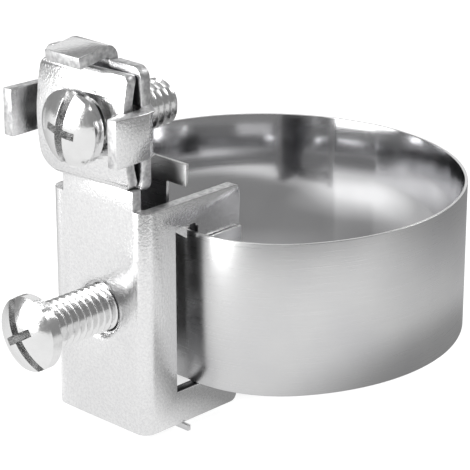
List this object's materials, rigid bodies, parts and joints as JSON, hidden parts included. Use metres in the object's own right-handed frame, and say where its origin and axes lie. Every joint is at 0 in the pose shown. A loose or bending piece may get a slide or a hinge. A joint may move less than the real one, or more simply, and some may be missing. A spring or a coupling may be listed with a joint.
{
  "type": "earthing pipe clamp",
  "caption": "Strap clamp that bonds an earth wire to a metal pipe: steel strip loop through a folded body, a screw that presses on it, and a plate terminal for the wire on top",
  "frame": {"origin": "on the pipe's axis, at the middle of the band's height", "axes": "+Z along the pipe towards the wire terminal, +X from the folded body towards the pipe, +Y to the left of a viewer who looks from the pipe at the body"},
  "size_m": [0.068, 0.0514, 0.0485],
  "materials": {
    "plated_body": "satin nickel or zinc plate with a fine grain, bright sheared edges",
    "strip_steel": "rolled strip, finely brushed along its length",
    "plated_screw": "bright plated"
  },
  "bodies": {
    "clamp": {"clamp_body": "plated_body", "tension_band": "strip_steel"},
    "pressure_plate": {"pressure_plate": "strip_steel"},
    "tension_screw": {"tension_screw": "plated_screw"},
    "wire_clamp_plate": {"wire_clamp_plate": "plated_body"},
    "terminal_screw": {"terminal_screw": "plated_screw"}
  },
  "joints": [
    {"name": "pressure_plate_slide", "type": "slide", "parent": "clamp", "child": "pressure_plate", "axis": [1, 0, 0], "range_m": [-0.0029, 0.0012]},
    {"name": "tension_screw_turn", "type": "hinge", "parent": "pressure_plate", "child": "tension_screw", "pos_m": [-0.035, 0, 0], "axis": [1, 0, 0], "range_deg": [-1044.5, 432.5]},
    {"name": "wire_clamp_slide", "type": "slide", "parent": "clamp", "child": "wire_clamp_plate", "axis": [1, 0, 0], "range_m": [-0.004, 0]},
    {"name": "terminal_screw_turn", "type": "hinge", "parent": "wire_clamp_plate", "child": "terminal_screw", "pos_m": [-0.03, 0.00015, 0.0235], "axis": [1, 0, 0], "range_deg": [-1440.5, 0.5]}
  ],
  "couplings": [
    {"joint": "tension_screw_turn", "follows": "pressure_plate_slide", "rad_per_m": 6283.2},
    {"joint": "terminal_screw_turn", "follows": "wire_clamp_slide", "rad_per_m": 6283.2}
  ]
}
